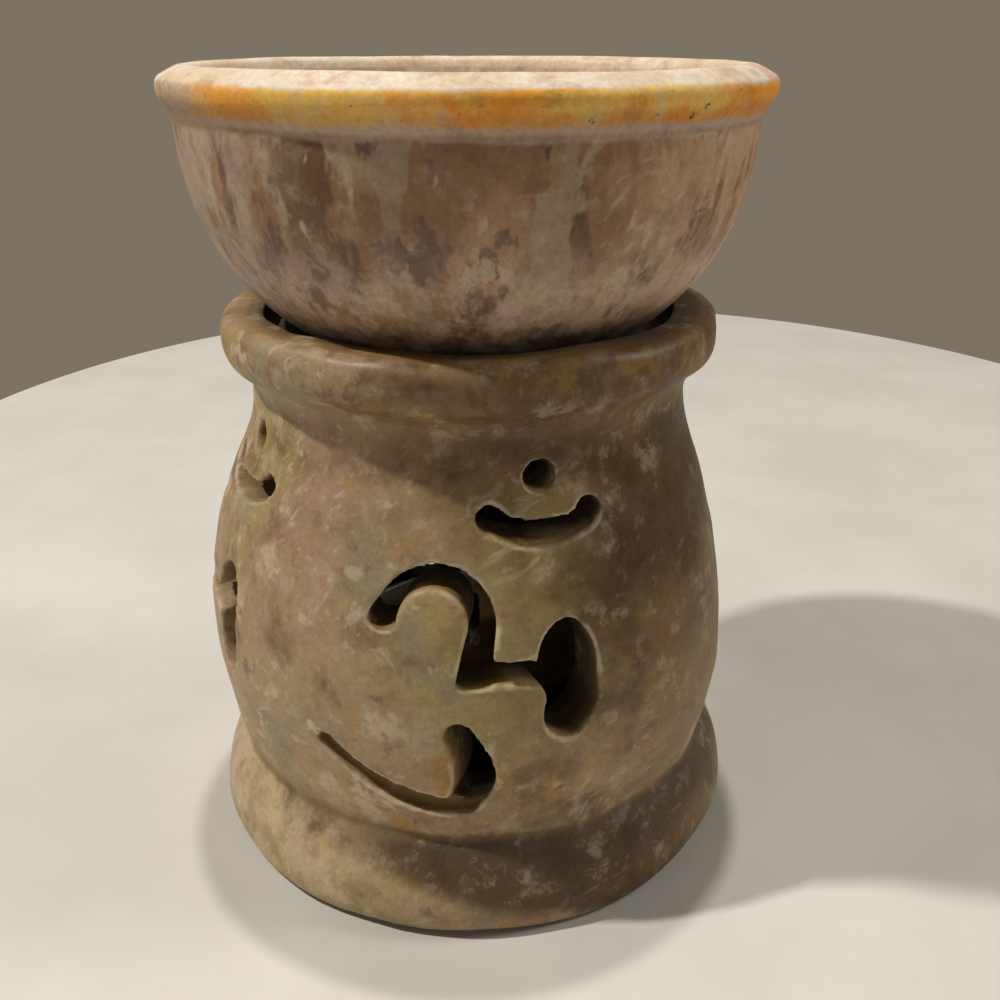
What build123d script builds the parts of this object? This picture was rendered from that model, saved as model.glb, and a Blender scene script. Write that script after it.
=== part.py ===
from build123d import *
import os

# Soapstone oil burner: a pierced stone body, a lift-off bowl and the tealight that warms it.
# Millimetres. +Z is up, the carved front faces -Y, and the origin is the centre of the foot's underside.
# Radii grow outwards from the tealight, and levels are stacked upwards from the foot.

# Tealight cup
cup_radius = 19.0
cup_height = 16.0
cup_foil = 0.4
cup_corner_radius = 1.2
cup_lip_radius = 0.5

# Wax, and the foot that holds the wick upright in it
wax_height = 13.0
wax_clearance = 0.15
wax_edge_radius = 0.6
sustainer_radius = 6.5
sustainer_thickness = 0.4
sustainer_neck_height = 4.6
sustainer_neck_wall = 0.6
sustainer_clearance = 0.1

# Wick
wick_radius = 0.9
wick_clearance = 0.05
wick_above_wax = 8.0
wick_tip_chamfer = 0.4

# Chamber inside the stone body
floor_thickness = 9.0
floor_room = 7.5
chamber_room = 10.2
shoulder_room = 5.1
mouth_clearance = 1.5
mouth_length = 9.5

# Stone left outside the chamber
waist_wall = 7.4
belly_wall = 7.4
shoulder_wall = 6.9
neck_wall = 8.3

# Foot, a rounded base that is widest a little above the table
foot_height = 12.6
foot_swell = 3.8
foot_widest_rise = 2.6
foot_tuck = 0.8

# Rises of the body, each from the level below it
belly_rise = 17.5
shoulder_rise = 26.0
neck_rise = 8.4
throat_rise = 4.5
throat_flare = 2.2

# Collar, a rolled ring with a seat for the bowl sunk in it
collar_roll_rise = 3.1
collar_face_rise = 3.5
collar_lip_width = 5.85
collar_outer_round = 2.0
collar_inner_round = 0.7
seat_depth = 3.0
seat_width = 1.6
seat_gap = 4.7

# Oil bowl: a flat base, a swelling side and a flared rim that is bevelled up to a crest
side_rise = 22.5
side_swell = 13.7
base_round = 1.0
bowl_neck_rise = 1.3
bowl_neck_flare = 0.05
rim_step = 0.25
rim_flare = 1.4
rim_flare_rise = 2.6
rim_face_rise = 1.5
rim_bevel_run = 2.8
rim_bevel_rise = 1.5
rim_outer_round = 1.1
crest_width = 2.0
crest_round = 2.0
rim_inner_round = 1.2
bowl_wall = 5.0
bowl_floor = 7.0
dish_inset = 2.0
dish_round = 7.0

# Carved sign, cut through the wall at four places round the body
motif_width = 36.0
motif_rise = 5.3
motif_neck_gap = 0.6
motif_turns = (0, 109, 194, -82)
seam_turn = 45
dot_radius = 1.95
groove_depth = 1.8
cut_overrun = 5.0

# Each stroke faces its own way round the body, in degrees from the sign's middle.
dot_turn = 17.6
crescent_turn = 17.4
curl_turn = -4.6
bar_turn = 7.2
lobe_turn = 22.2
hook_turn = -18
sweep_turn = -14

# Stroke outlines: corner, middle of the arc, next corner and so on, as shares of the sign's width and height.
dot_up_share = 0.928
crescent_shares = [
    (-0.221, 0.833), (-0.206, 0.807), (-0.168, 0.795), (-0.036, 0.759),
    (0.146, 0.775), (0.204, 0.802), (0.225, 0.832), (0.191, 0.857),
    (0.141, 0.855), (0.123, 0.832), (0.081, 0.824), (-0.023, 0.821),
    (-0.113, 0.837), (-0.136, 0.854), (-0.164, 0.863), (-0.199, 0.859),
]
curl_shares = [
    (-0.183, 0.640), (-0.009, 0.727), (0.210, 0.565), (0.204, 0.492),
    (0.192, 0.414), (0.125, 0.407), (0.057, 0.414), (0.093, 0.490),
    (0.118, 0.561), (0.016, 0.666), (-0.126, 0.576), (-0.176, 0.555),
    (-0.230, 0.584), (-0.212, 0.614),
]
bar_shares = [
    (-0.148, 0.410), (0.015, 0.416), (0.184, 0.389), (0.194, 0.428),
    (0.183, 0.463), (0.057, 0.477), (-0.082, 0.484), (-0.126, 0.449),
]
lobe_shares = [
    (-0.101, 0.386), (-0.108, 0.430), (-0.107, 0.472), (-0.088, 0.521),
    (-0.052, 0.555), (0.000, 0.569), (0.056, 0.541), (0.095, 0.481),
    (0.104, 0.403), (0.087, 0.316), (0.035, 0.256), (-0.017, 0.230),
    (-0.075, 0.246), (-0.102, 0.277), (-0.106, 0.319), (-0.099, 0.351),
]
hook_shares = [
    (0.254, 0.264), (0.295, 0.307), (0.352, 0.279), (0.384, 0.219),
    (0.405, 0.158), (0.397, 0.097), (0.341, 0.028), (0.289, 0.021),
    (0.240, 0.038), (0.276, 0.137),
]
sweep_shares = [
    (-0.282, 0.172), (-0.069, 0.039), (0.257, 0.002), (0.276, 0.026),
    (0.260, 0.053), (-0.060, 0.104), (-0.233, 0.207), (-0.274, 0.201),
]

# Radii that follow from the tealight outwards
tealight_radius = cup_radius + cup_lip_radius
mouth_radius = tealight_radius + mouth_clearance
chamber_floor_radius = tealight_radius + floor_room
chamber_radius = tealight_radius + chamber_room
chamber_shoulder_radius = tealight_radius + shoulder_room
waist_radius = chamber_floor_radius + waist_wall
belly_radius = chamber_radius + belly_wall
shoulder_radius = chamber_shoulder_radius + shoulder_wall
neck_radius = mouth_radius + neck_wall
throat_radius = neck_radius + throat_flare
foot_radius = waist_radius + foot_swell
foot_base_radius = foot_radius - foot_tuck
bowl_base_radius = mouth_radius + seat_width
seat_radius = bowl_base_radius + seat_gap
collar_radius = seat_radius + collar_lip_width
side_radius = bowl_base_radius + side_swell
dish_radius = side_radius - bowl_wall
dish_floor_radius = bowl_base_radius - dish_inset
bowl_neck_radius = side_radius + bowl_neck_flare
rim_foot_radius = bowl_neck_radius + rim_step
rim_radius = rim_foot_radius + rim_flare
crest_radius = rim_radius - rim_bevel_run
rim_inner_radius = crest_radius - crest_width

# Levels that follow from the foot upwards
waist_level = foot_height
belly_level = waist_level + belly_rise
shoulder_level = belly_level + shoulder_rise
neck_level = shoulder_level + neck_rise
throat_level = neck_level + throat_rise
collar_roll_level = throat_level + collar_roll_rise
collar_level = collar_roll_level + collar_face_rise
seat_level = collar_level - seat_depth
mouth_level = seat_level - mouth_length
dish_level = seat_level + bowl_floor
side_level = collar_level + side_rise
rim_foot_level = side_level + bowl_neck_rise
rim_flare_level = rim_foot_level + rim_flare_rise
rim_face_level = rim_flare_level + rim_face_rise
rim_level = rim_face_level + rim_bevel_rise
cup_floor_level = floor_thickness + cup_foil
wick_foot_level = cup_floor_level + sustainer_thickness
wax_level = cup_floor_level + wax_height
motif_level = waist_level + motif_rise
motif_height = neck_level - motif_neck_gap - motif_level

# Directions of a tangent in a turned profile
up = (0, 1)
down = (0, -1)


def motif_spot(across_share, up_share):
    """A point of the sign on a stroke's own plane."""
    return (across_share * motif_width, motif_level + up_share * motif_height)


def arc_outline(shares):
    """A closed outline of arcs, each from one corner through its middle to the next corner."""
    spots = [motif_spot(across_share, up_share) for across_share, up_share in shares]
    corners = spots[0::2]
    middles = spots[1::2]
    for start, middle, end in zip(corners, middles, corners[1:] + corners[:1]):
        ThreePointArc(start, middle, end)


def stroke_plane(turn):
    """The upright plane through the body's axis that faces out at a turn from the front."""
    return Plane.XZ.rotated((0, 0, turn))


def belly_line(inset):
    """The outside of the body from waist to neck, drawn in by inset."""
    belly = (belly_radius - inset, belly_level)
    shoulder = (shoulder_radius - inset, shoulder_level)
    TangentArc(belly, (waist_radius - inset, waist_level), tangent=down)
    upper = TangentArc(belly, shoulder, tangent=up)
    return TangentArc(shoulder, (neck_radius - inset, neck_level), tangent=upper % 1)


# Strokes that go right through the wall
cut_reach = foot_radius + cut_overrun
with BuildPart() as pierced_strokes:
    with BuildSketch(stroke_plane(dot_turn)):
        with Locations(motif_spot(0, dot_up_share)):
            Circle(dot_radius)
    extrude(amount=cut_reach)
    for turn, shares in (
        (crescent_turn, crescent_shares),
        (curl_turn, curl_shares),
        (bar_turn, bar_shares),
        (lobe_turn, lobe_shares),
        (hook_turn, hook_shares),
    ):
        with BuildSketch(stroke_plane(turn)):
            with BuildLine():
                arc_outline(shares)
            make_face()
        extrude(amount=cut_reach)

# The long sweep, a shallow groove that runs into the hook
with BuildPart() as sweep_groove:
    with BuildSketch(stroke_plane(sweep_turn)):
        with BuildLine():
            arc_outline(sweep_shares)
        make_face()
    extrude(amount=cut_reach)
    with BuildSketch(Plane.XZ):
        with BuildLine():
            belly_line(groove_depth)
            Polyline(
                (neck_radius - groove_depth, neck_level),
                (0, neck_level),
                (0, waist_level),
                (waist_radius - groove_depth, waist_level),
            )
        make_face()
    revolve(axis=Axis.Z, mode=Mode.SUBTRACT)

# Stone body: foot, belly, neck and collar in one piece, hollow, with the sign cut through its wall
with BuildPart() as burner_body:
    with BuildSketch(stroke_plane(seam_turn)):
        with BuildLine():
            foot_widest = (foot_radius, foot_widest_rise)
            TangentArc(foot_widest, (foot_base_radius, 0), tangent=down)
            TangentArc(foot_widest, (waist_radius, waist_level), tangent=up)
            neck_line = belly_line(0)
            throat = (throat_radius, throat_level)
            TangentArc((neck_radius, neck_level), throat, tangent=neck_line % 1)
            TangentArc((collar_radius, collar_roll_level), throat, tangent=down)
            FilletPolyline(
                (collar_radius, collar_roll_level),
                (collar_radius, collar_level),
                (seat_radius, collar_level),
                (seat_radius, seat_level),
                radius=[collar_outer_round, collar_inner_round],
            )
            Polyline((seat_radius, seat_level), (mouth_radius, seat_level), (mouth_radius, mouth_level))
            chamber = (chamber_radius, belly_level)
            chamber_shoulder = (chamber_shoulder_radius, shoulder_level)
            chamber_upper = TangentArc(chamber, chamber_shoulder, tangent=up)
            TangentArc(chamber_shoulder, (mouth_radius, mouth_level), tangent=chamber_upper % 1)
            TangentArc(chamber, (chamber_floor_radius, floor_thickness), tangent=down)
            Polyline(
                (chamber_floor_radius, floor_thickness),
                (0, floor_thickness),
                (0, 0),
                (foot_base_radius, 0),
            )
        make_face()
    revolve(axis=Axis.Z)
    with Locations(*[Location((0, 0, 0), (0, 0, turn)) for turn in motif_turns]):
        add(pierced_strokes.part, mode=Mode.SUBTRACT)
        add(sweep_groove.part, mode=Mode.SUBTRACT)

# Oil bowl, resting on the seat in the collar
with BuildPart() as oil_bowl:
    with BuildSketch(Plane.XZ) as bowl_profile:
        with BuildLine():
            base_edge = (bowl_base_radius, seat_level)
            dish_edge = (dish_floor_radius, dish_level)
            TangentArc((side_radius, side_level), base_edge, tangent=down)
            Polyline(base_edge, (0, seat_level), (0, dish_level), dish_edge)
            TangentArc((dish_radius, side_level), dish_edge, tangent=down)
            Polyline(
                (side_radius, side_level),
                (bowl_neck_radius, rim_foot_level),
                (rim_foot_radius, rim_foot_level),
            )
            FilletPolyline(
                (rim_foot_radius, rim_foot_level),
                (rim_radius, rim_flare_level),
                (rim_radius, rim_face_level),
                (crest_radius, rim_level),
                (rim_inner_radius, rim_level),
                (dish_radius, side_level),
                radius=[rim_outer_round, rim_outer_round, crest_round, rim_inner_round],
            )
        make_face()
        fillet(bowl_profile.vertices().sort_by_distance(base_edge)[0], radius=base_round)
        fillet(bowl_profile.vertices().sort_by_distance(dish_edge)[0], radius=dish_round)
    revolve(axis=Axis.Z)

# Tealight cup, drawn from foil with a rolled lip
with BuildPart() as tealight_cup:
    with BuildSketch(Plane.XY.offset(floor_thickness)):
        Circle(cup_radius)
    extrude(amount=cup_height - cup_lip_radius)
    fillet(tealight_cup.edges().group_by(Axis.Z)[0], radius=cup_corner_radius)
    offset(amount=-cup_foil, openings=tealight_cup.faces().sort_by(Axis.Z)[-1])
    with Locations((0, 0, floor_thickness + cup_height - cup_lip_radius)):
        Torus(cup_radius, cup_lip_radius)

# Wick foot: a pressed disc with a crimped neck
with BuildPart() as wick_sustainer:
    with BuildSketch(Plane.XY.offset(cup_floor_level)):
        Circle(sustainer_radius)
    extrude(amount=sustainer_thickness)
    with BuildSketch(Plane.XY.offset(wick_foot_level)):
        Circle(wick_radius + wick_clearance + sustainer_neck_wall)
        Circle(wick_radius + wick_clearance, mode=Mode.SUBTRACT)
    extrude(amount=sustainer_neck_height)

# Wick, standing on its foot
with BuildPart() as tealight_wick:
    with BuildSketch(Plane.XY.offset(wick_foot_level)):
        Circle(wick_radius)
    extrude(amount=wax_level + wick_above_wax - wick_foot_level)
    chamfer(tealight_wick.edges().group_by(Axis.Z)[-1], length=wick_tip_chamfer)

# Wax, cast round the wick and its foot
with BuildPart() as tealight_wax:
    with BuildSketch(Plane.XY.offset(cup_floor_level)):
        Circle(cup_radius - cup_foil - wax_clearance)
    extrude(amount=wax_height)
    fillet(tealight_wax.edges().group_by(Axis.Z)[0], radius=cup_corner_radius)
    fillet(tealight_wax.edges().group_by(Axis.Z)[-1], radius=wax_edge_radius)
    with BuildSketch(Plane.XY.offset(cup_floor_level)):
        Circle(sustainer_radius + sustainer_clearance)
    extrude(amount=sustainer_thickness, mode=Mode.SUBTRACT)
    with BuildSketch(Plane.XY.offset(wick_foot_level)):
        Circle(wick_radius + wick_clearance + sustainer_neck_wall + sustainer_clearance)
    extrude(amount=sustainer_neck_height, mode=Mode.SUBTRACT)
    with BuildSketch(Plane.XY.offset(cup_floor_level)):
        Circle(wick_radius + wick_clearance)
    extrude(amount=wax_height + cut_overrun, mode=Mode.SUBTRACT)

os.makedirs("parts", exist_ok=True)

burner_body.part.label = "burner_body"
export_step(burner_body.part, "parts/burner_body.step")
oil_bowl.part.label = "oil_bowl"
export_step(oil_bowl.part, "parts/oil_bowl.step")
tealight_cup.part.label = "tealight_cup"
export_step(tealight_cup.part, "parts/tealight_cup.step")
wick_sustainer.part.label = "wick_sustainer"
export_step(wick_sustainer.part, "parts/wick_sustainer.step")
tealight_wick.part.label = "tealight_wick"
export_step(tealight_wick.part, "parts/tealight_wick.step")
tealight_wax.part.label = "tealight_wax"
export_step(tealight_wax.part, "parts/tealight_wax.step")
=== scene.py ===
import math

import bmesh
import bpy
import numpy as np
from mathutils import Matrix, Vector


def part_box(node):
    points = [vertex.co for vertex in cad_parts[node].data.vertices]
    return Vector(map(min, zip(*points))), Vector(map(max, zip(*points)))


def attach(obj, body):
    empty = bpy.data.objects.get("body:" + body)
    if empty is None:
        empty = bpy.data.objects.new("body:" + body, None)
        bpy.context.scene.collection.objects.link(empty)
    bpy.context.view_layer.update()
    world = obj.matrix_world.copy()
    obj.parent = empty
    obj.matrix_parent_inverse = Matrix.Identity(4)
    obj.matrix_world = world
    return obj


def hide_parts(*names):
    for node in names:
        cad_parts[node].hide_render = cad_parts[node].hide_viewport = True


# A turned soapstone oil burner with a lift-off bowl and a tealight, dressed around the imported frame.
# Blender works in metres. The levels, the rows of masks and the tealight's rows are in millimetres.

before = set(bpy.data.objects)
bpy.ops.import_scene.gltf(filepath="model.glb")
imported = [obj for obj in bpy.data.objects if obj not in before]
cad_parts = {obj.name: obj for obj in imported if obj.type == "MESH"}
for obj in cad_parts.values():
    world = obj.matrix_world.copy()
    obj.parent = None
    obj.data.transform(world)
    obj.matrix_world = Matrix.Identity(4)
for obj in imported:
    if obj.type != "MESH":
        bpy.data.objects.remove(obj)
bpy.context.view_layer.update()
scene = bpy.context.scene
MM = 0.001


def rgb(red, green, blue):
    """A colour as a shader socket takes it."""
    return (red, green, blue, 1)


# Hand-worked stone: how finely it is meshed, how far edges are worn and how uneven it is
STONE_VOXEL = 0.42 * MM
BODY_SEED = 11
BODY_EDGE_PASSES = 1
BODY_WOBBLE = 0.14 * MM
BODY_LUMP = 0.20 * MM
BOWL_SEED = 23
BOWL_EDGE_PASSES = 2
BOWL_WOBBLE = 0.03 * MM
BOWL_LUMP = 0.05 * MM
WOBBLE_LENGTH = 9 * MM
LUMP_LENGTH = 26 * MM
WAVES = 14
WAVE_SPREAD = (0.7, 1.5)
SMOOTH_SHARE = 0.5
BELLY_SHIFT = 0.9 * MM
OUTLINE_STEP = 0.5 * MM
WEAR_PASSES = 2
WEAR_GAIN = 8

# Levels of the turned stone, in millimetres
WAIST_LEVEL = 12.6
CREASE_LEVEL = 69
BAND_LEVEL = 99.4
BEVEL_LEVEL = 103.4

# Patches of colour, laid over a ground in turn.
# Each row: hue, size in millimetres, where its noise starts and is full, and the noise's offset
PATCH_DETAIL = 4.0
PATCH_ROUGHNESS = 0.62
BODY_GROUND = rgb(0.415, 0.290, 0.155)
BODY_PATCHES = [
    (rgb(0.400, 0.300, 0.118), 27, 0.47, 0.60, (0.11, 0.27, 0.62)),
    (rgb(0.400, 0.255, 0.152), 20, 0.50, 0.61, (0.73, 0.15, 0.34)),
    (rgb(0.325, 0.265, 0.150), 17, 0.53, 0.64, (0.29, 0.83, 0.51)),
    (rgb(0.250, 0.158, 0.072), 14, 0.54, 0.66, (0.47, 0.39, 0.88)),
    (rgb(0.540, 0.415, 0.260), 9, 0.57, 0.68, (0.61, 0.57, 0.13)),
    (rgb(0.450, 0.255, 0.075), 9, 0.59, 0.69, (0.33, 0.21, 0.71)),
    (rgb(0.275, 0.155, 0.105), 6, 0.61, 0.70, (0.05, 0.92, 0.27)),
    (rgb(0.580, 0.455, 0.290), 5, 0.61, 0.68, (0.38, 0.07, 0.95)),
]
BOWL_GROUND = rgb(0.300, 0.162, 0.078)
BOWL_PATCHES = [
    (rgb(0.385, 0.275, 0.172), 9, 0.50, 0.56, (0.21, 0.34, 0.17)),
    (rgb(0.150, 0.073, 0.032), 8, 0.52, 0.58, (0.57, 0.68, 0.31)),
    (rgb(0.420, 0.238, 0.130), 12, 0.53, 0.60, (0.83, 0.22, 0.49)),
    (rgb(0.170, 0.098, 0.072), 7, 0.56, 0.60, (0.39, 0.91, 0.76)),
    (rgb(0.500, 0.370, 0.250), 5, 0.61, 0.66, (0.15, 0.53, 0.93)),
]
# The band's orange is near full brightness: partly the stone's own colour, partly painted light standing in
# for light glowing through the thin rim
BAND_GROUND = rgb(0.930, 0.410, 0.052)
BAND_PATCHES = [
    (rgb(0.930, 0.560, 0.105), 13, 0.50, 0.60, (0.44, 0.12, 0.66)),
    (rgb(0.950, 0.360, 0.022), 11, 0.53, 0.61, (0.92, 0.37, 0.21)),
    (rgb(0.740, 0.480, 0.240), 10, 0.61, 0.68, (0.52, 0.84, 0.09)),
    (rgb(0.420, 0.270, 0.075), 6, 0.62, 0.69, (0.18, 0.75, 0.58)),
    (rgb(0.090, 0.050, 0.020), 1.6, 0.66, 0.70, (0.67, 0.49, 0.35)),
]
# The crest's cream is partly the stone's own pale top and partly a painted sheen, the reflection of light
# from above laid into its colour
CREST_GROUND = rgb(0.720, 0.565, 0.395)
CREST_PATCHES = [
    (rgb(0.780, 0.675, 0.540), 10, 0.47, 0.58, (0.35, 0.81, 0.42)),
    (rgb(0.690, 0.460, 0.340), 7, 0.56, 0.65, (0.74, 0.26, 0.11)),
]

# Noise fields.
# Each row: scale per metre, detail and roughness, then the offset, turn and stretch of its place
BODY_FIELDS = {
    "wavering": (1 / (16 * MM), 3.0, 0.55),
    "smeared": (1 / (8 * MM), 4.0, 0.62, (0.76, 0.44, 0.63), (0.4, 0.2, 0.6), (0.6, 0.6, 1.3)),
    "toe_light_noise": (1 / (6 * MM), 4.0, 0.65, (0.48, 0.13, 0.59)),
    "ochre": (1 / (9 * MM), 4.0, 0.62, (0.27, 0.66, 0.38)),
    "umber": (1 / (6 * MM), 4.0, 0.62, (0.64, 0.18, 0.92)),
}
BOWL_STRETCH = (1, 1, 0.40)
BOWL_FIELDS = {
    "veined": (1 / (6 * MM), 4.0, 0.6),
    "speckled": (1 / (3.2 * MM), 4.0, 0.65),
}
RAGGED_FIELD = {"ragged": (130.0, 4.0, 0.55)}
FINISH_FIELDS = {
    "cloud": (210.0, 5.0, 0.7, (0.2, 0.6, 0.4)),
    "grain": (1500.0, 1.0, 0.7),
    "rubbed": (1 / (6 * MM), 3.0, 0.6, (0.7, 0.2, 0.5)),
    "pits": (420.0, 3.0, 0.75, (0.4, 0.4, 0.1)),
}

# Places on the body pushed about by a drift, in millimetres: the axis and how much of the drift it takes
DRIFT_REACH = 20
DRIFTED = {"across": ("x", 1.0), "height": ("z", 0.5), "back": ("y", 0.7)}
SLANT = 3.8
SLANT_DRIFT = 0.35

# Masks that several of the body's layers share. A mask is a product of rows. A row is a field's name with
# the ends of its ramp, and the ramp's values there if they aren't 0 and 1. It can also be a bare name, for
# the field itself, or a bare number, for a plain share. The left sign takes less of the carved hues and of
# the painted shade on the cut walls
LEFT_SIGN = ("x", -33, -22, 0.4, 1.0)
BODY_MASKS = {
    "front": [("back", 12, -8, 0.15, 1.0)],
    # upper, aside and low mark where shade is painted: under the bowl on the upper right of the belly, down
    # the belly's right side, and the belly's slanting shadow across the foot's front
    "upper": [("height", 50, 61), ("across", -26, 0), ("z", 63, 68, 1.0, 0.86)],
    "aside": [("across", -4, 24), ("height", 20, 46, 0.35, 1.0)],
    "low": [("z", 15, 11), ("aslant", 14.88, 27.88), ("x", 25, 34, 1.0, 0.55)],
    "turned": [("z", CREASE_LEVEL - 3, CREASE_LEVEL), ("x", -27, -8, 0.35, 1.0)],
    "carved": [("depth", 0.35, 1.3), LEFT_SIGN],
}

# Layers over the stone's patches, laid on in turn. Each row: hue, blend type and the rows of its mask
BODY_LAYERS = [
    # Painted shade, which shows as a stain under other light: the bowl's shade on the upper right of the
    # belly and the belly's shadow across the foot's front, a deeper painted shade on the right of the
    # belly, and dark smears laid only where shade is painted
    (rgb(0.425, 0.350, 0.262), "MULTIPLY", ["painted_shade"]),
    (rgb(0.700, 0.650, 0.560), "MULTIPLY", ["low", "front"]),
    (
        rgb(0.480, 0.440, 0.390),
        "MULTIPLY",
        [("across", 2, 15), ("height", 42, 49), ("height", 66, 61), "front", 0.95],
    ),
    (rgb(0.085, 0.050, 0.026), "MIX", [("smeared", 0.50, 0.66), "painted_shade", 0.75]),
    # Painted shade in the crease over the foot, under the belly, and painted light in paler patches on the
    # foot's lit left
    (
        rgb(0.085, 0.055, 0.031),
        "MIX",
        [("z", 6.0, 10.5), ("z", 14.0, 12.8), ("across", -24, 0), "front", 0.85],
    ),
    (
        rgb(0.580, 0.450, 0.270),
        "MIX",
        [("z", 15, 11), ("x", -4, -26), ("toe_light_noise", 0.38, 0.56, 0.10, 0.72)],
    ),
    # Stains on the collar
    (rgb(0.270, 0.165, 0.042), "MIX", ["turned", ("ochre", 0.52, 0.60, 0.0, 0.75)]),
    (rgb(0.140, 0.066, 0.028), "MIX", ["turned", ("umber", 0.52, 0.60, 0.0, 0.75)]),
    # Carved strokes: raw stone at the lip, painted shade on the cut walls, and more painted shade on the
    # strokes at the right
    (rgb(0.250, 0.156, 0.034), "MIX", ["carved", 0.75]),
    (rgb(0.085, 0.055, 0.032), "MIX", [("depth", 1.3, 2.9), LEFT_SIGN, 0.82]),
    (rgb(0.070, 0.042, 0.026), "MIX", ["carved", ("x", 8, 17), 0.75]),
    # The bowl's seat in the collar and the deep chamber, darkened partly as soot and partly as painted
    # shade
    (
        rgb(0.042, 0.030, 0.020),
        "MIX",
        [("z", CREASE_LEVEL, CREASE_LEVEL + 1), ("depth", 5.1, 5.9), 0.88],
    ),
    (rgb(0.050, 0.034, 0.022), "MIX", [("depth", 5.5, 8.5), 0.75]),
]
SIDE_LAYERS = [
    # Warmer at the right, cooler at the left and paler at the heel
    (rgb(0.600, 0.370, 0.218), "MIX", [("x", 8, 30), ("veined", 0.42, 0.52, 0.05, 0.90)]),
    (rgb(0.530, 0.405, 0.305), "MIX", [("x", -12, -32), ("veined", 0.58, 0.47, 0.10, 0.85)]),
    (rgb(0.630, 0.460, 0.335), "MIX", [("z", 92, 79), ("speckled", 0.42, 0.58, 0.15, 0.76)]),
]
BAND_LAYERS = [
    # Greyed at the left end, rubbed darker in its lower half, and a pale lip
    (
        rgb(0.600, 0.440, 0.300),
        "MIX",
        [("x", -25, -31), ("veined", 0.34, 0.50, 0.55, 0.95), ("y", 16, 2, 0.2, 1.0)],
    ),
    (rgb(0.740, 0.700, 0.820), "MULTIPLY", [("z", BAND_LEVEL + 2.7, BAND_LEVEL + 1.1)]),
    (rgb(0.520, 0.355, 0.255), "MIX", [("height", BAND_LEVEL + 1.0, BAND_LEVEL + 0.2)]),
]
FINISH_LAYERS = [
    # Cloudiness, grain, pale scratches, worn edges and painted shade in the hollows
    (rgb(0.660, 0.600, 0.530), "MULTIPLY", [("cloud", 0.34, 0.50, 0.62, 0.0)]),
    (rgb(0.600, 0.490, 0.360), "MIX", [("cloud", 0.53, 0.70, 0.0, 0.38)]),
    (rgb(0.580, 0.530, 0.480), "MULTIPLY", [("grain", 0.35, 0.65, 0.24, 0.0)]),
    (rgb(0.700, 0.610, 0.480), "MIX", ["marks", "streaks"]),
    (
        rgb(0.640, 0.520, 0.360),
        "MIX",
        [("wear", 0.34, 0.74), ("rubbed", 0.40, 0.58, 0.08, 1.0), 0.65],
    ),
    (rgb(0.150, 0.086, 0.024), "MIX", [("hollow", 0.08, 0.45, 0.0, 0.5)]),
]
DISH_GROUND = rgb(0.660, 0.520, 0.380)
DISH_LAYERS = [(rgb(0.500, 0.370, 0.250), "MIX", [("speckled", 0.4, 0.6)])]

# Where the bowl's band, dish and crest begin and are full, and how ragged two of these edges are
BAND_START = [("height", BAND_LEVEL - 1.2, BAND_LEVEL - 0.6)]
DISH_START = [("depth", 3.2, 4.4)]
CREST_START = [("brim", BEVEL_LEVEL - 0.25, BEVEL_LEVEL + 0.20)]
BAND_RAGGED = 1.6
CREST_RAGGED = 1.1

# Pale strokes: how they lie, their size, their noise's offset, and where it starts and is full
STROKE_LIES = [
    ((0.0, 0.86, 0.0), 2.5 * MM, (0.31, 0.12, 0.77), (0.56, 0.70)),
    ((0.0, 1.20, 0.4), 1.6 * MM, (0.83, 0.45, 0.21), (0.59, 0.70)),
]
STROKE_STRETCH = (1, 1, 3)
STROKE_BEND_LENGTH = 9 * MM
STROKE_BEND_REACH = 4 * MM
STROKE_GROUPS = {"gathered": (1 / (19 * MM), 2.0, 0.6, (0.9, 0.3, 0.6))}
STROKE_GROUP_RAMP = (0.42, 0.62, 0.10, 1.0)
# On the body the pale strokes fade from 0.38 to 0.15 of full across the painted shade
BODY_STREAKS = (0.0, 1.0, 0.38, 0.15)
BOWL_STREAKS = 0.32

# The stone's roughness, as a ramp of its cloudiness, with what pale strokes and carving add to it, and the
# gloss that is the same all over
STONE_SHEEN = (0.35, 0.65, 0.46, 0.64)
MARK_SHEEN = 0.15
CARVED_SHEEN = 0.22
STONE_GLOSS = {"Specular IOR Level": 0.34, "Coat Weight": 0.05, "Coat Roughness": 0.30}

# The noise values between which a plain material goes from one hue, or one roughness, to the other
HUE_SPAN = (0.35, 0.65)
GLOSS_SPAN = (0.3, 0.7)

# Tealight rows: radius, level and share of the change of radius round it, in millimetres
LATHE_STEPS = 288
SHARP_ANGLE = math.radians(50)
CUP_ROWS = [
    (0, 9.22, 0), (10.6, 9.22, 0), (11.0, 9.16, 0), (11.5, 9.02, 0), (17.4, 9.0, 0),
    (18.1, 9.14, 0), (18.6, 9.6, 0.2), (18.92, 10.4, 0.8), (18.95, 11.2, 1), (18.95, 15.5, 1),
    (18.95, 21.0, 1), (18.95, 22.8, 0.8), (18.95, 23.6, 0), (19.05, 23.9, 0), (19.30, 24.05, 0),
    (19.47, 24.3, 0), (19.49, 24.6, 0), (19.36, 24.86, 0), (19.1, 24.99, 0), (18.84, 24.96, 0),
    (18.66, 24.75, 0), (18.6, 24.4, 0), (18.58, 23.5, 0), (18.58, 22.5, 0.3), (18.58, 12.0, 0.3),
    (18.5, 10.2, 0.1), (18.1, 9.5, 0), (17.4, 9.36, 0), (0, 9.36, 0),
]
FLUTES = 48
FLUTE_DEPTH = 0.16
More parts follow.
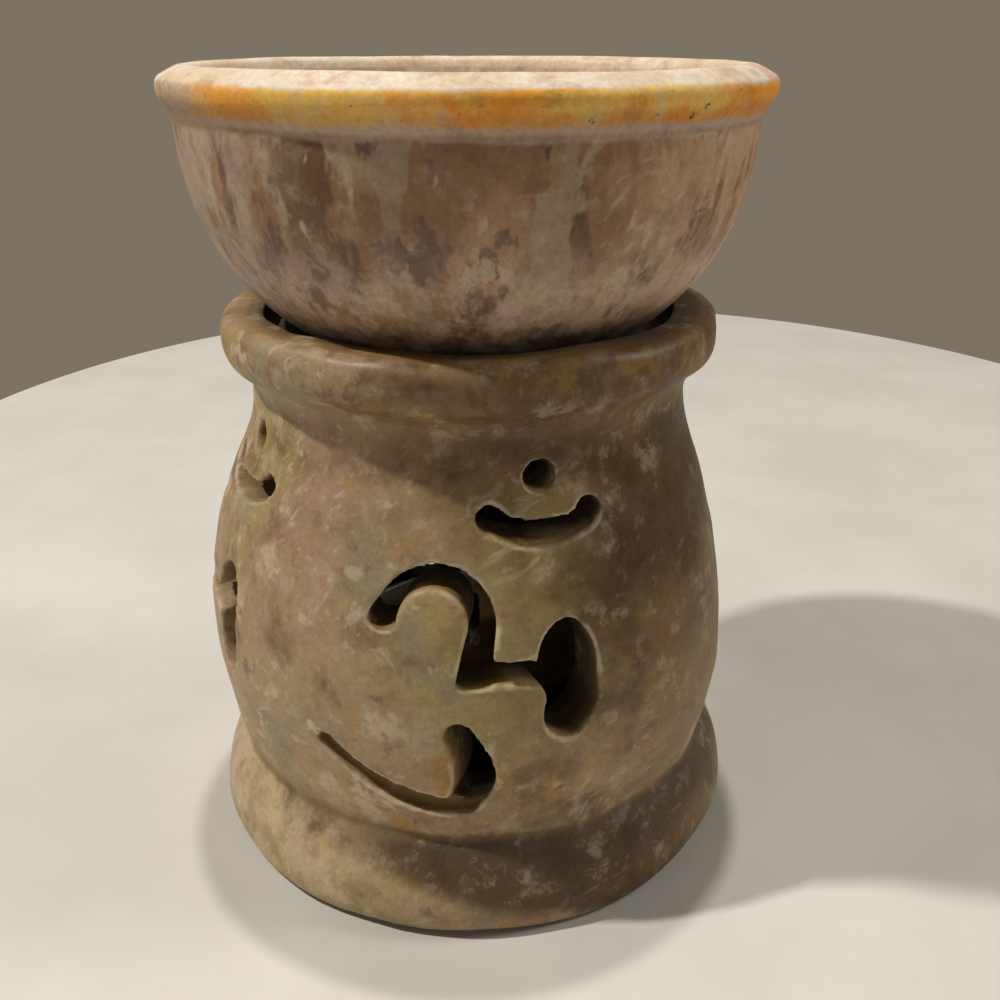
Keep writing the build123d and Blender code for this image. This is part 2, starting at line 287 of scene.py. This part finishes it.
WAX_ROWS = [
    (0.96, 22.15, 0), (1.3, 21.95, 0), (2.2, 21.72, 0), (4.5, 21.58, 0), (8.0, 21.52, 1),
    (12.0, 21.56, 1), (15.0, 21.68, 1), (16.8, 21.88, 0.5), (17.8, 22.15, 0), (18.3, 22.39, 0),
    (18.42, 22.3, 0), (18.43, 21.5, 0), (18.43, 10.6, 0), (18.2, 9.9, 0), (17.6, 9.5, 0),
    (16.8, 9.42, 0), (6.62, 9.42, 0), (6.62, 9.82, 0), (1.7, 9.82, 0), (1.7, 14.45, 0),
    (0.96, 14.5, 0),
]
# Ripples of the wax: height, how many go round, and where they start
RIPPLES = [(0.25, 3, 0.6), (0.12, 7, 0.0)]

# Wick: three strands twisted round each other, from the foot to the tip, in millimetres
STRANDS = 3
STRAND_RADIUS = 0.46
STRAND_OFFSET = 0.43
STRAND_PITCH = 6.5
STRAND_SIDES = 12
STRAND_STEPS = 90
WICK_FOOT = 9.85
WICK_TIP = 30.35
TIP_SHARE = 0.06
TIP_THINNING = 0.35
BURNT_LEVELS = (24 * MM, 26.5 * MM)
BURNT_RAGGED = 1.5 * MM

# Table top
TABLE_CENTRE = (22 * MM, 135 * MM)
TABLE_RADIUS = 185 * MM
TABLE_REACH = 1.2
TABLE_STEPS = 96

# Lamps: turn from the front and rise in degrees, distance and width in metres, and level
LAMP_COLOUR = (1.0, 0.96, 0.90)
LAMP_TARGET = (0, 0, 50 * MM)
LAMPS = {
    "key": (-80, 55, 0.80, 0.035, 0.78),
    "overhead": (172, 85.6, 1.80, 0.05, 0.40),
    "front_left": (-50, 16, 0.90, 0.50, 0.08),
    "right": (90, 36, 0.90, 0.30, 0.34),
    "front": (20, 22, 0.90, 0.60, 0.04),
}
FILL_LIGHT = {"Color": rgb(1.0, 0.97, 0.93), "Strength": 0.02}
BACKGROUND = {"Color": rgb(0.202, 0.171, 0.130), "Strength": 1.0}

# Camera at the photograph's angle
CAMERA_PLACE = (3.94 * MM, -149.6 * MM, 108.8 * MM)
CAMERA_PITCH = 0.399
CAMERA_LENS = 40.32
CAMERA_SENSOR = 36
CAMERA_NEAR = 0.01


def feed(tree, made, inputs):
    """Sets a node's inputs. An input is a number, a colour or another node's socket."""
    for key, value in inputs.items():
        if isinstance(value, bpy.types.NodeSocket):
            tree.links.new(value, made.inputs[key])
        else:
            made.inputs[key].default_value = value


def node(tree, kind, inputs, **settings):
    """Adds a shader node."""
    made = tree.nodes.new(kind)
    for key, value in settings.items():
        setattr(made, key, value)
    feed(tree, made, inputs)
    return made


def combined(tree, operation, values):
    """The values taken together in turn by one kind of math node."""
    made = values[0]
    for value in values[1:]:
        made = node(tree, "ShaderNodeMath", {0: made, 1: value}, operation=operation).outputs[0]
    return made


def plus_part(tree, base, field, part):
    """The base and a part of the field, added up."""
    return node(tree, "ShaderNodeMath", {0: field, 1: part, 2: base}, operation="MULTIPLY_ADD").outputs[0]


def ramp(tree, value, low, high, bottom=0.0, top=1.0):
    """A smooth step of value, from bottom at low to top at high."""
    inputs = {"Value": value, "From Min": low, "From Max": high, "To Min": bottom, "To Max": top}
    return node(tree, "ShaderNodeMapRange", inputs, interpolation_type="SMOOTHSTEP").outputs["Result"]


def blend(tree, share, first, second, mode="MIX"):
    """Two colours mixed by a share of the second. The numbers are the Mix node's colour sockets."""
    inputs = {0: share, 6: first, 7: second}
    return node(tree, "ShaderNodeMix", inputs, data_type="RGBA", blend_type=mode).outputs[2]


def noise(tree, place, scale, detail=4.0, roughness=0.55):
    inputs = {"Vector": place, "Scale": scale, "Detail": detail, "Roughness": roughness}
    return node(tree, "ShaderNodeTexNoise", inputs).outputs["Fac"]


def moved(tree, place, offset=(0, 0, 0), turn=(0, 0, 0), scale=(1, 1, 1), kind="POINT"):
    inputs = {"Vector": place, "Location": offset, "Rotation": turn, "Scale": scale}
    return node(tree, "ShaderNodeMapping", inputs, vector_type=kind).outputs["Vector"]


def attribute(tree, name):
    return node(tree, "ShaderNodeAttribute", {}, attribute_name=name).outputs["Fac"]


def bump(tree, height, distance, strength):
    inputs = {"Height": height, "Distance": distance, "Strength": strength}
    return node(tree, "ShaderNodeBump", inputs).outputs["Normal"]


def axes(tree, place, unit=1.0):
    """The place's three values by name, in a unit."""
    scaled = node(tree, "ShaderNodeVectorMath", {0: place, "Scale": 1 / unit}, operation="SCALE").outputs[0]
    parts = node(tree, "ShaderNodeSeparateXYZ", {"Vector": scaled}).outputs
    return {"x": parts["X"], "y": parts["Y"], "z": parts["Z"]}


def bent(tree, place, length, reach):
    """The place pushed about by up to reach, in turns about one length long."""
    inputs = {"Vector": place, "Scale": 1 / length, "Detail": 1.0}
    push = node(tree, "ShaderNodeTexNoise", inputs).outputs["Color"]
    inputs = {0: push, 1: (0.5, 0.5, 0.5)}
    centred = node(tree, "ShaderNodeVectorMath", inputs, operation="SUBTRACT").outputs[0]
    inputs = {0: centred, 1: (2 * reach, 2 * reach, 2 * reach), 2: place}
    return node(tree, "ShaderNodeVectorMath", inputs, operation="MULTIPLY_ADD").outputs[0]


def new_material(name):
    """A material with its tree, its shader and its object coordinates."""
    material = bpy.data.materials.new(name)
    material.use_nodes = True
    tree = material.node_tree
    shader = tree.nodes["Principled BSDF"]
    place = node(tree, "ShaderNodeTexCoord", {}).outputs["Object"]
    return material, tree, shader, place


def patches(tree, place, colour, rows):
    """Lays patches of colour over each other, from rows as above."""
    for hue, size, start, full, offset in rows:
        field = noise(tree, moved(tree, place, offset), 1 / (size * MM), PATCH_DETAIL, PATCH_ROUGHNESS)
        colour = blend(tree, ramp(tree, field, start, full), colour, hue)
    return colour


def noise_fields(tree, place, rows):
    """Noise fields by name, from rows as above."""
    fields = {}
    for name, (scale, detail, roughness, *shift) in rows.items():
        fields[name] = noise(tree, moved(tree, place, *shift), scale, detail, roughness)
    return fields


def mask(tree, fields, rows):
    """A share from the product of rows as above."""
    factors = []
    for row in rows:
        if isinstance(row, tuple):
            name, *ends = row
            factors.append(ramp(tree, fields[name], *ends))
        else:
            factors.append(fields[row] if isinstance(row, str) else row)
    return combined(tree, "MULTIPLY", factors)


def layered(tree, fields, colour, layers):
    """Lays layers over a colour, from rows as above."""
    for hue, mode, rows in layers:
        colour = blend(tree, mask(tree, fields, rows), colour, hue, mode)
    return colour


def pale_marks(tree, place):
    """Soft pale strokes, aslant and gathered in patches, as a share of paleness."""
    curved = bent(tree, place, STROKE_BEND_LENGTH, STROKE_BEND_REACH)
    strokes = []
    for turn, size, offset, span in STROKE_LIES:
        aslant = moved(tree, curved, offset, turn, STROKE_STRETCH, "TEXTURE")
        strokes.append(ramp(tree, noise(tree, aslant, 1 / size, detail=3.0, roughness=0.6), *span))
    marks = combined(tree, "MAXIMUM", strokes)
    gathered = noise_fields(tree, place, STROKE_GROUPS)["gathered"]
    return combined(tree, "MULTIPLY", [marks, ramp(tree, gathered, *STROKE_GROUP_RAMP)])


def stone_finish(tree, shader, place, colour, streaks, carved=None):
    """Grain, cloudiness, scratches, worn edges, painted shade in the hollows, sheen and fine relief that
    both stones share.
    """
    fields = noise_fields(tree, place, FINISH_FIELDS)
    fields["marks"] = pale_marks(tree, place)
    fields["streaks"] = streaks
    fields["wear"] = attribute(tree, "wear")
    fields["hollow"] = attribute(tree, "hollow")
    sheen = plus_part(tree, ramp(tree, fields["cloud"], *STONE_SHEEN), fields["marks"], MARK_SHEEN)
    if carved is not None:
        sheen = plus_part(tree, sheen, carved, CARVED_SHEEN)
    feed(tree, shader, STONE_GLOSS)
    feed(tree, shader, {
        "Base Color": layered(tree, fields, colour, FINISH_LAYERS),
        "Roughness": sheen,
        "Normal": bump(tree, fields["pits"], distance=0.16 * MM, strength=0.6),
    })


def body_stone():
    """Waxed soapstone, olive and tan with mauve and grey-green clouds. Cut walls are rawer, and shade is
    painted on them, on the upper right of the belly and across the foot's front.
    """
    material, tree, shader, place = new_material("body_stone_carved")
    fields = axes(tree, place, MM) | noise_fields(tree, place, BODY_FIELDS)
    drift = plus_part(tree, -DRIFT_REACH, fields["wavering"], 2 * DRIFT_REACH)
    for name, (axis, part) in DRIFTED.items():
        fields[name] = plus_part(tree, fields[axis], drift, part)
    slanting = plus_part(tree, fields["x"], fields["z"], SLANT)
    fields["aslant"] = plus_part(tree, slanting, drift, SLANT_DRIFT)
    fields["depth"] = attribute(tree, "depth")
    for name, rows in BODY_MASKS.items():
        fields[name] = mask(tree, fields, rows)
    # The painted shade: the greatest of upper, aside and low, kept to the front
    painted_shade = combined(tree, "MAXIMUM", [fields["upper"], fields["aside"], fields["low"]])
    fields["painted_shade"] = combined(tree, "MULTIPLY", [painted_shade, fields["front"]])
    colour = patches(tree, place, BODY_GROUND, BODY_PATCHES)
    colour = layered(tree, fields, colour, BODY_LAYERS)
    streaks = ramp(tree, fields["painted_shade"], *BODY_STREAKS)
    stone_finish(tree, shader, place, colour, streaks, fields["carved"])
    return material


def bowl_stone():
    """Browner soapstone with upright blotches, an ochre rim band brightened partly as painted light, and a
    pale bevelled crest that is partly a painted sheen.
    """
    material, tree, shader, place = new_material("bowl_stone_turned")
    upright = moved(tree, place, scale=BOWL_STRETCH)
    fields = axes(tree, place, MM) | noise_fields(tree, upright, BOWL_FIELDS)
    ragged = combined(tree, "SUBTRACT", [noise_fields(tree, place, RAGGED_FIELD)["ragged"], 0.5])
    fields["height"] = plus_part(tree, fields["z"], ragged, BAND_RAGGED)
    fields["brim"] = plus_part(tree, fields["z"], ragged, CREST_RAGGED)
    fields["depth"] = attribute(tree, "depth")
    side = layered(tree, fields, patches(tree, upright, BOWL_GROUND, BOWL_PATCHES), SIDE_LAYERS)
    band = layered(tree, fields, patches(tree, place, BAND_GROUND, BAND_PATCHES), BAND_LAYERS)
    dish = layered(tree, fields, DISH_GROUND, DISH_LAYERS)
    crest = patches(tree, place, CREST_GROUND, CREST_PATCHES)
    parts = [(band, "MIX", BAND_START), (dish, "MIX", DISH_START), (crest, "MIX", CREST_START)]
    stone_finish(tree, shader, place, layered(tree, fields, side, parts), BOWL_STREAKS)
    return material


def hues(tree, field, dark, light):
    """Two hues mixed softly by a field."""
    return blend(tree, ramp(tree, field, *HUE_SPAN), dark, light)


def gloss(tree, field, low, high):
    """A roughness that varies with a field."""
    return ramp(tree, field, *GLOSS_SPAN, low, high)


def foil():
    """Drawn aluminium foil: bright, with fine upright drawing lines."""
    material, tree, shader, place = new_material("tealight_foil")
    drawn = noise(tree, moved(tree, place, scale=(1, 1, 0.05)), scale=1800.0, detail=3.0)
    feed(tree, shader, {
        "Base Color": hues(tree, drawn, dark=rgb(0.68, 0.68, 0.69), light=rgb(0.80, 0.80, 0.81)),
        "Metallic": 1.0,
        "Roughness": gloss(tree, drawn, low=0.36, high=0.50),
        "Normal": bump(tree, drawn, distance=0.03 * MM, strength=0.6),
    })
    return material


def wax():
    """Natural beeswax: golden brown, slightly clouded and soft-edged."""
    material, tree, shader, place = new_material("tealight_beeswax")
    cloud = noise(tree, place, scale=260.0, detail=5.0, roughness=0.6)
    grains = noise(tree, place, scale=1300.0, detail=3.0)
    feed(tree, shader, {
        "Base Color": hues(tree, cloud, dark=rgb(0.42, 0.25, 0.070), light=rgb(0.52, 0.33, 0.110)),
        "Roughness": gloss(tree, cloud, low=0.42, high=0.58),
        "Subsurface Weight": 0.25,
        "Subsurface Radius": (1.6 * MM, 1.3 * MM, 1.0 * MM),
        "Subsurface Scale": 1.0,
        "Normal": bump(tree, grains, distance=0.06 * MM, strength=0.5),
    })
    return material


def cotton():
    """Waxed cotton: cream strands with a fibre twist, burnt above the wax."""
    material, tree, shader, place = new_material("wick_braid")
    fibre = noise(tree, moved(tree, place, scale=(1, 1, 0.25)), scale=5200.0, detail=3.0)
    colour = hues(tree, fibre, dark=rgb(0.70, 0.63, 0.49), light=rgb(0.86, 0.81, 0.70))
    level = plus_part(tree, axes(tree, place)["z"], fibre, BURNT_RAGGED)
    feed(tree, shader, {
        "Base Color": blend(tree, ramp(tree, level, *BURNT_LEVELS), colour, rgb(0.030, 0.025, 0.021)),
        "Roughness": 0.75,
        "Normal": bump(tree, fibre, distance=0.05 * MM, strength=0.8),
    })
    return material


def tinplate():
    """Pressed tinplate: grey steel with a fine brushed grain."""
    material, tree, shader, place = new_material("sustainer_tinplate")
    brushed = noise(tree, moved(tree, place, scale=(1, 0.08, 1)), scale=2600.0, detail=3.0)
    feed(tree, shader, {
        "Base Color": hues(tree, brushed, dark=rgb(0.50, 0.50, 0.51), light=rgb(0.66, 0.66, 0.67)),
        "Metallic": 1.0,
        "Roughness": gloss(tree, brushed, low=0.28, high=0.44),
    })
    return material


def pale_table():
    """A pale, slightly clouded table top."""
    material, tree, shader, place = new_material("table_pale")
    cloud = noise(tree, place, scale=26.0)
    feed(tree, shader, {
        "Base Color": hues(tree, cloud, dark=rgb(0.580, 0.559, 0.513), light=rgb(0.626, 0.606, 0.560)),
        "Roughness": 0.62,
    })
    return material


def linked(name, data):
    """A new object in the scene."""
    made = bpy.data.objects.new(name, data)
    scene.collection.objects.link(made)
    return made


def stands_for(piece, source, body, material):
    """Puts a finished piece in the place of a frame node."""
    piece.data.materials.append(material)
    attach(piece, body)
    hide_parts(source)


def dress(name, material):
    """Gives a frame node its finished material."""
    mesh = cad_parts[name].data
    mesh.materials.clear()
    mesh.materials.append(material)


def remeshed(name, source, voxel):
    """A new piece with the frame node's shape on an even, closed mesh."""
    piece = linked(name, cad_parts[source].data.copy())
    remesh = piece.modifiers.new("even", "REMESH")
    remesh.mode = "VOXEL"
    remesh.voxel_size = voxel
    shown = piece.evaluated_get(bpy.context.evaluated_depsgraph_get())
    mesh = bpy.data.meshes.new_from_object(shown)
    piece.modifiers.clear()
    piece.data = mesh
    mesh.name = name
    mesh.materials.clear()
    return piece


def points_of(mesh):
    points = np.empty(len(mesh.vertices) * 3)
    mesh.vertices.foreach_get("co", points)
    return points.reshape(-1, 3)


def normals_of(mesh):
    normals = np.empty(len(mesh.vertices) * 3)
    mesh.vertex_normals.foreach_get("vector", normals)
    return normals.reshape(-1, 3)


def edges_of(mesh):
    edges = np.empty(len(mesh.edges) * 2, np.int64)
    mesh.edges.foreach_get("vertices", edges)
    return edges.reshape(-1, 2)


def set_values(mesh, name, values):
    made = mesh.attributes.new(name, "FLOAT", "POINT")
    made.data.foreach_set("value", values.astype(np.float32))


def set_smooth(mesh):
    mesh.polygons.foreach_set("use_smooth", np.ones(len(mesh.polygons), bool))


def neighbour_mean(values, edges):
    """The mean of each vertex's neighbours."""
    first, second = edges[:, 0], edges[:, 1]
    size = len(values)
    count = np.bincount(edges.ravel(), minlength=size)
    columns = []
    for column in values.T:
        total = np.bincount(first, column[second], size) + np.bincount(second, column[first], size)
        columns.append(total / np.maximum(count, 1))
    return np.stack(columns, -1)


def smoothed(values, edges, passes):
    for _ in range(passes):
        values = values + SMOOTH_SHARE * (neighbour_mean(values, edges) - values)
    return values


def wander(points, length, seed):
    """A smooth field of vectors about one unit long that turns over about one length."""
    draw = np.random.default_rng(seed)
    field = np.zeros_like(points)
    for _ in range(WAVES):
        way = draw.normal(size=3)
        way *= 2 * math.pi / (np.linalg.norm(way) * length * draw.uniform(*WAVE_SPREAD))
        field += np.sin(points @ way + draw.uniform(0, 2 * math.pi))[:, None] * draw.normal(size=3)
    return field / math.sqrt(WAVES)


def turned_depth(points):
    """How far each point lies inside the outline of revolution at its level, in millimetres."""
    radius = np.hypot(points[:, 0], points[:, 1])
    row = np.clip((points[:, 2] / OUTLINE_STEP).astype(int), 0, None)
    outline = np.zeros(row.max() + 1)
    np.maximum.at(outline, row, radius)
    return (outline[row] - radius) / MM


def kept_in_box(points, low, high):
    """Eases the points back so that the piece fits its own frame node's box."""
    for axis in range(3):
        lowest, highest = points[:, axis].min(), points[:, axis].max()
        share = (points[:, axis] - lowest) / (highest - lowest)
        points[:, axis] = max(low[axis], lowest) * (1 - share) + min(high[axis], highest) * share
    return points


def belly_shift(points):
    """The belly leans a little to the left of the foot and the collar, as turned by hand."""
    share = np.clip((points[:, 2] / MM - WAIST_LEVEL) / (CREASE_LEVEL - WAIST_LEVEL), 0, 1)
    return -BELLY_SHIFT * np.sin(math.pi * share) ** 2


def worked_stone(name, source, seed, edge_passes, wobble, lump, shift=None):
    """A frame node remade as hand-worked stone: worn edges, slight unevenness, wear and depth values."""
    piece = remeshed(name, source, STONE_VOXEL)
    mesh = piece.data
    edges = edges_of(mesh)
    points = points_of(mesh)
    set_values(mesh, "depth", turned_depth(points))
    points = smoothed(points, edges, edge_passes)
    points += wander(points, WOBBLE_LENGTH, seed) * wobble + wander(points, LUMP_LENGTH, seed + 1) * lump
    if shift is not None:
        points[:, 0] += shift(points)
    low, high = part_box(source)
    points = kept_in_box(points, low, high)
    mesh.vertices.foreach_set("co", points.ravel())
    mesh.update()
    bend = -((neighbour_mean(points, edges) - points) * normals_of(mesh)).sum(1) / STONE_VOXEL
    bend = smoothed(bend[:, None], edges, WEAR_PASSES)[:, 0] * WEAR_GAIN
    set_values(mesh, "wear", np.clip(bend, 0, 1))
    set_values(mesh, "hollow", np.clip(-bend, 0, 1))
    set_smooth(mesh)
    return piece


def closed_piece(name, points, faces):
    """A piece from points in millimetres, with its faces turned outwards and its sharp edges kept."""
    mesh = bpy.data.meshes.new(name)
    mesh.from_pydata([[MM * value for value in point] for point in points], [], faces)
    shape = bmesh.new()
    shape.from_mesh(mesh)
    bmesh.ops.recalc_face_normals(shape, faces=shape.faces)
    shape.to_mesh(mesh)
    shape.free()
    set_smooth(mesh)
    mesh.set_sharp_from_angle(angle=SHARP_ANGLE)
    return linked(name, mesh)


def lathe(name, rows, closed, change):
    """A turned piece from rows of radius, level and share of a change of radius round it."""
    points, rings = [], []
    for radius, level, share in rows:
        first = len(points)
        if radius == 0:
            points.append((0, 0, level))
            rings.append([first])
            continue
        for step in range(LATHE_STEPS):
            turn = 2 * math.pi * step / LATHE_STEPS
            reach = radius + share * change(turn)
            points.append((reach * math.cos(turn), reach * math.sin(turn), level))
        rings.append(list(range(first, first + LATHE_STEPS)))
    faces = []
    for lower, upper in zip(rings, rings[1:] + (rings[:1] if closed else [])):
        for step in range(LATHE_STEPS):
            after = (step + 1) % LATHE_STEPS
            corners = [
                lower[step % len(lower)], lower[after % len(lower)],
                upper[after % len(upper)], upper[step % len(upper)],
            ]
            faces.append(list(dict.fromkeys(corners)))
    return closed_piece(name, points, faces)


def crimps(turn):
    """Upright flutes pressed into the foil."""
    return FLUTE_DEPTH * (0.5 * math.cos(FLUTES * turn) - 0.5)


def cast_ripple(turn):
    """The wax's set surface is never quite round."""
    return sum(height * math.sin(count * turn + start) for height, count, start in RIPPLES)


def twisted_wick(name):
    """A cord of strands that thin out at the tip."""
    points, faces = [], []
    for strand in range(STRANDS):
        rings = []
        for step in range(STRAND_STEPS + 1):
            share = step / STRAND_STEPS
            level = WICK_FOOT + share * (WICK_TIP - WICK_FOOT)
            lay = 2 * math.pi * (strand / STRANDS + (level - WICK_FOOT) / STRAND_PITCH)
            thin = 1 - TIP_THINNING * max(0, (share - 1 + TIP_SHARE) / TIP_SHARE)
            ring = []
            for side in range(STRAND_SIDES):
                turn = 2 * math.pi * side / STRAND_SIDES
                across = thin * (STRAND_OFFSET * math.cos(lay) + STRAND_RADIUS * math.cos(turn))
                back = thin * (STRAND_OFFSET * math.sin(lay) + STRAND_RADIUS * math.sin(turn))
                ring.append(len(points))
                points.append((across, back, level))
            rings.append(ring)
        for lower, upper in zip(rings, rings[1:]):
            for side in range(STRAND_SIDES):
                after = (side + 1) % STRAND_SIDES
                faces.append([lower[side], lower[after], upper[after], upper[side]])
        faces.append(rings[0][::-1])
        faces.append(rings[-1])
    return closed_piece(name, points, faces)


def table_top():
    """The table that the burner stands on, with a round far end."""
    across, back = TABLE_CENTRE
    outline = [(across + TABLE_RADIUS, -TABLE_REACH, 0)]
    for step in range(TABLE_STEPS + 1):
        turn = math.pi * step / TABLE_STEPS
        outline.append((across + TABLE_RADIUS * math.cos(turn), back + TABLE_RADIUS * math.sin(turn), 0))
    outline.append((across - TABLE_RADIUS, -TABLE_REACH, 0))
    mesh = bpy.data.meshes.new("table_top")
    mesh.from_pydata(outline, [], [list(range(len(outline)))])
    mesh.materials.append(pale_table())
    table = linked("table_top", mesh)


def soft_lamp(name, turn, rise, reach, size, level):
    """A round lamp aimed at the body. A level of 1 shows a facing colour as it is written."""
    turn, rise = math.radians(turn), math.radians(rise)
    way = Vector((math.sin(turn) * math.cos(rise), -math.cos(turn) * math.cos(rise), math.sin(rise)))
    lamp = bpy.data.lights.new(name, "AREA")
    lamp.shape = "DISK"
    lamp.size = size
    lamp.energy = level * (math.pi * reach) ** 2
    lamp.color = LAMP_COLOUR
    holder = linked(name, lamp)
    holder.location = Vector(LAMP_TARGET) + way * reach
    holder.rotation_euler = (-way).to_track_quat("-Z", "Y").to_euler()


def surroundings():
    """Faint even light from all round, and a plain background where the camera or a reflection sees it."""
    world = bpy.data.worlds.new("studio")
    scene.world = world
    world.use_nodes = True
    tree = world.node_tree
    tree.nodes.clear()
    seen = node(tree, "ShaderNodeLightPath", {}).outputs
    rays = [seen["Is Camera Ray"], seen["Is Glossy Ray"], seen["Is Transmission Ray"]]
    shown = combined(tree, "MAXIMUM", rays)
    light = node(tree, "ShaderNodeBackground", FILL_LIGHT).outputs[0]
    back = node(tree, "ShaderNodeBackground", BACKGROUND).outputs[0]
    mixed = node(tree, "ShaderNodeMixShader", {0: shown, 1: light, 2: back}).outputs[0]
    node(tree, "ShaderNodeOutputWorld", {"Surface": mixed})


def camera():
    lens = bpy.data.cameras.new("photo_camera")
    lens.sensor_width = CAMERA_SENSOR
    lens.lens = CAMERA_LENS
    lens.clip_start = CAMERA_NEAR
    holder = linked("photo_camera", lens)
    holder.location = CAMERA_PLACE
    holder.rotation_euler = (math.pi / 2 - CAMERA_PITCH, 0, 0)
    scene.camera = holder


carved_body = worked_stone(
    "carved_body", "burner_body", BODY_SEED, BODY_EDGE_PASSES, BODY_WOBBLE, BODY_LUMP, belly_shift
)
stands_for(carved_body, "burner_body", "burner", body_stone())
turned_bowl = worked_stone(
    "turned_bowl", "oil_bowl", BOWL_SEED, BOWL_EDGE_PASSES, BOWL_WOBBLE, BOWL_LUMP
)
stands_for(turned_bowl, "oil_bowl", "bowl", bowl_stone())
foil_cup = lathe("foil_cup", CUP_ROWS, closed=False, change=crimps)
stands_for(foil_cup, "tealight_cup", "tealight", foil())
wax_disc = lathe("wax_disc", WAX_ROWS, closed=True, change=cast_ripple)
stands_for(wax_disc, "tealight_wax", "tealight", wax())
stands_for(twisted_wick("twisted_wick"), "tealight_wick", "tealight", cotton())
dress("wick_sustainer", tinplate())
table_top()
for lamp_name, lamp_row in LAMPS.items():
    soft_lamp(lamp_name, *lamp_row)
surroundings()
camera()
scene.view_settings.view_transform = "Standard"
